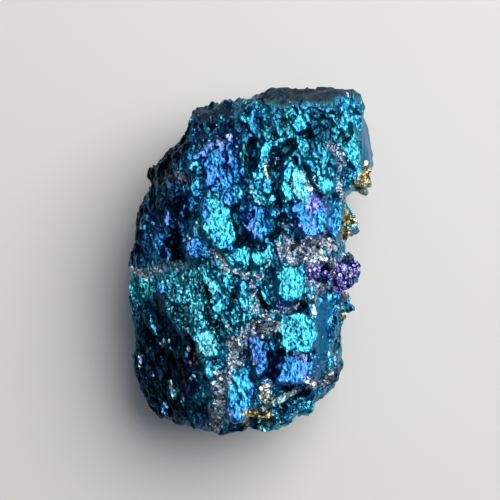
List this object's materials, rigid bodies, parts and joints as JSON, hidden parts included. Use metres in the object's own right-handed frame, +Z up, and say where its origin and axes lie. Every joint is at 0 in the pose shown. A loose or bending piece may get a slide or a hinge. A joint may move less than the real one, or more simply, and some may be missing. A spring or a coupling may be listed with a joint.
{
  "type": "peacock ore specimen",
  "caption": "Small broken lump of iridescent copper ore, blue, teal and violet with silvery seams and brassy crystals, resting on a small flat spot.",
  "frame": {"origin": "middle of the small flat spot that the lump rests on", "axes": "+Z up through the best face, +Y along the lump towards its broad straight-broken end, +X towards the side with the brassy and violet crystals"},
  "size_m": [0.0236, 0.0328, 0.0163],
  "materials": {
    "tarnished_ore": "metallic lustre under a thin tarnish film: teal and cyan, with blue, violet, brass and silver-grey patches, hackly and bright on its facets and near black in its cracks"
  },
  "bodies": {
    "root": {"peacock_ore": "tarnished_ore"}
  },
  "joints": []
}
